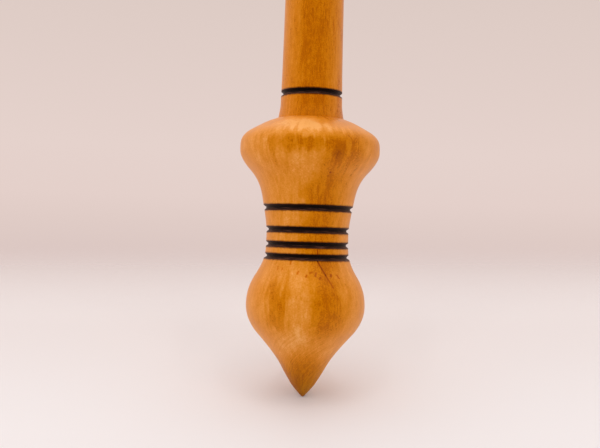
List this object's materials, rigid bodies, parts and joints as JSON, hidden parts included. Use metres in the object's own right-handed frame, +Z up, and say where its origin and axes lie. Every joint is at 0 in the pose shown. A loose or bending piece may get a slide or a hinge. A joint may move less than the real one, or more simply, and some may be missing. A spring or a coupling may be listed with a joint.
{
  "type": "hand spindle",
  "caption": "Turned wooden hand spindle for yarn: a pointed bulb, burn-lined waist and wide bead under a long tapered shaft that the fingers twirl.",
  "frame": {"origin": "the very end of the point, on which the spindle spins", "axes": "+Z up the spindle's axis to the knob; X and Y are free, because every piece is turned round Z"},
  "size_m": [0.0318, 0.0318, 0.29],
  "materials": {
    "base_wood": "satin",
    "shaft_wood": "satin",
    "charred_wood": "matte"
  },
  "bodies": {
    "root": {"base": "base_wood", "shaft": "shaft_wood", "collar_burn_line": "charred_wood", "waist_burn_line_1": "charred_wood", "waist_burn_line_2": "charred_wood", "waist_burn_line_3": "charred_wood", "waist_burn_line_4": "charred_wood"}
  },
  "joints": []
}
